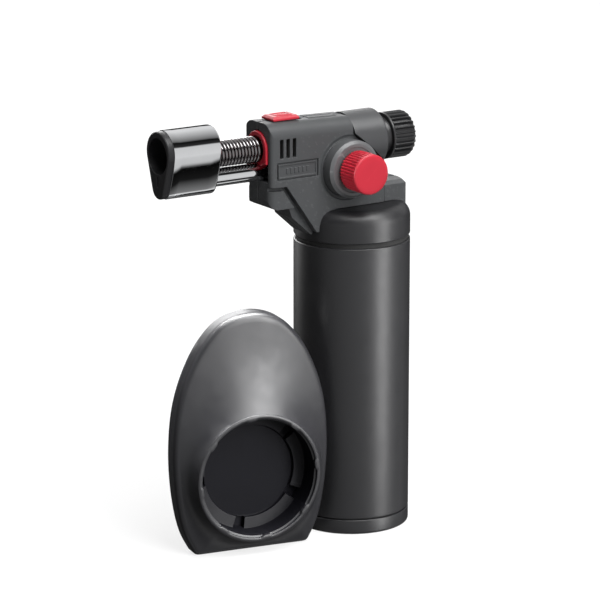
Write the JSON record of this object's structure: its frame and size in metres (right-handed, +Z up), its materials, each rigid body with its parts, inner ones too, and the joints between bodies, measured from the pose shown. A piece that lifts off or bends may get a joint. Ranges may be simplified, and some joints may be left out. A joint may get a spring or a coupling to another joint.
{
  "type": "butane torch",
  "caption": "Hand-held butane torch: round fuel tank under a moulded head with a chrome-guarded burner, gas knob, push igniter and air slider, with a loose egg-shaped stand.",
  "frame": {"origin": "centre of the tank's underside, on the table", "axes": "+Z up along the tank, -X the way the muzzle points, -Y the gas knob's side"},
  "size_m": [0.1038, 0.0444, 0.1542],
  "materials": {
    "black_paint": "satin black paint",
    "tank_steel": "drawn steel",
    "charcoal_plastic": "fine matte moulded plastic",
    "black_plastic": "satin moulded plastic",
    "red_plastic": "satin moulded plastic",
    "white_plastic": "moulded plastic",
    "chrome": "mirror chrome",
    "spring_steel": "heat-darkened steel wire",
    "brass": "turned brass",
    "dark_insert": "heat-proof dark coating",
    "ceramic": "glazed ceramic",
    "rubber": "matte rubber",
    "felt": "wick felt",
    "wire_red": "silicone sleeve"
  },
  "bodies": {
    "torch": {"tank_sleeve": "black_paint", "fuel_tank": "tank_steel", "tank_base_ring": "black_plastic", "base_seal_ring": "rubber", "tank_shoulder": "black_plastic", "shoulder_seal_ring": "rubber", "fill_valve_body": "brass", "fill_valve_seal": "rubber", "fill_valve_spring": "spring_steel", "outlet_valve_body": "brass", "outlet_valve_seal": "rubber", "fuel_wick": "felt", "valve_block": "brass", "gland_nut": "brass", "spindle_seal": "rubber", "control_boss": "charcoal_plastic", "housing_left": "charcoal_plastic", "housing_right": "charcoal_plastic", "housing_screws": "tank_steel", "nameplate": "charcoal_plastic", "rear_cover": "charcoal_plastic", "piezo_body": "white_plastic", "piezo_spring": "spring_steel", "gas_pipe": "brass", "gas_jet": "brass", "mixer_body": "brass", "burner_tube": "tank_steel", "burner_coil": "spring_steel", "conduit_tube": "chrome", "muzzle_guard": "chrome", "muzzle_insert": "dark_insert", "flame_holder": "tank_steel", "electrode": "spring_steel", "electrode_insulator": "ceramic", "ignition_wire": "wire_red"},
    "gas_control": {"gas_knob": "red_plastic", "flow_spindle": "brass"},
    "igniter": {"piezo_button": "black_plastic", "piezo_plunger": "white_plastic"},
    "air_control": {"air_slider": "red_plastic"},
    "filler": {"fill_valve_stem": "brass"},
    "stand": {"stand_base": "black_plastic"}
  },
  "joints": [
    {"name": "gas_knob_turn", "type": "hinge", "parent": "torch", "child": "gas_control", "pos_m": [-0.0074, -0.018, 0.1336], "axis": [0, -1, 0], "range_deg": [0, 300]},
    {"name": "igniter_press", "type": "slide", "parent": "torch", "child": "igniter", "axis": [-1, 0, 0], "range_m": [0, 0.005], "stiffness_N_per_m": 600, "springref_m": -0.002, "deforming": ["piezo_spring"]},
    {"name": "air_slide", "type": "slide", "parent": "torch", "child": "air_control", "axis": [1, 0, 0], "range_m": [0, 0.004]},
    {"name": "fill_valve_press", "type": "slide", "parent": "torch", "child": "filler", "axis": [0, 0, 1], "range_m": [0, 0.0015], "stiffness_N_per_m": 400, "springref_m": -0.001, "deforming": ["fill_valve_spring"]},
    {"name": "stand_move", "type": "slide", "parent": "torch", "child": "stand", "axis": [-0.1736, -0.9848, 0], "range_m": [0, 0.06]}
  ]
}
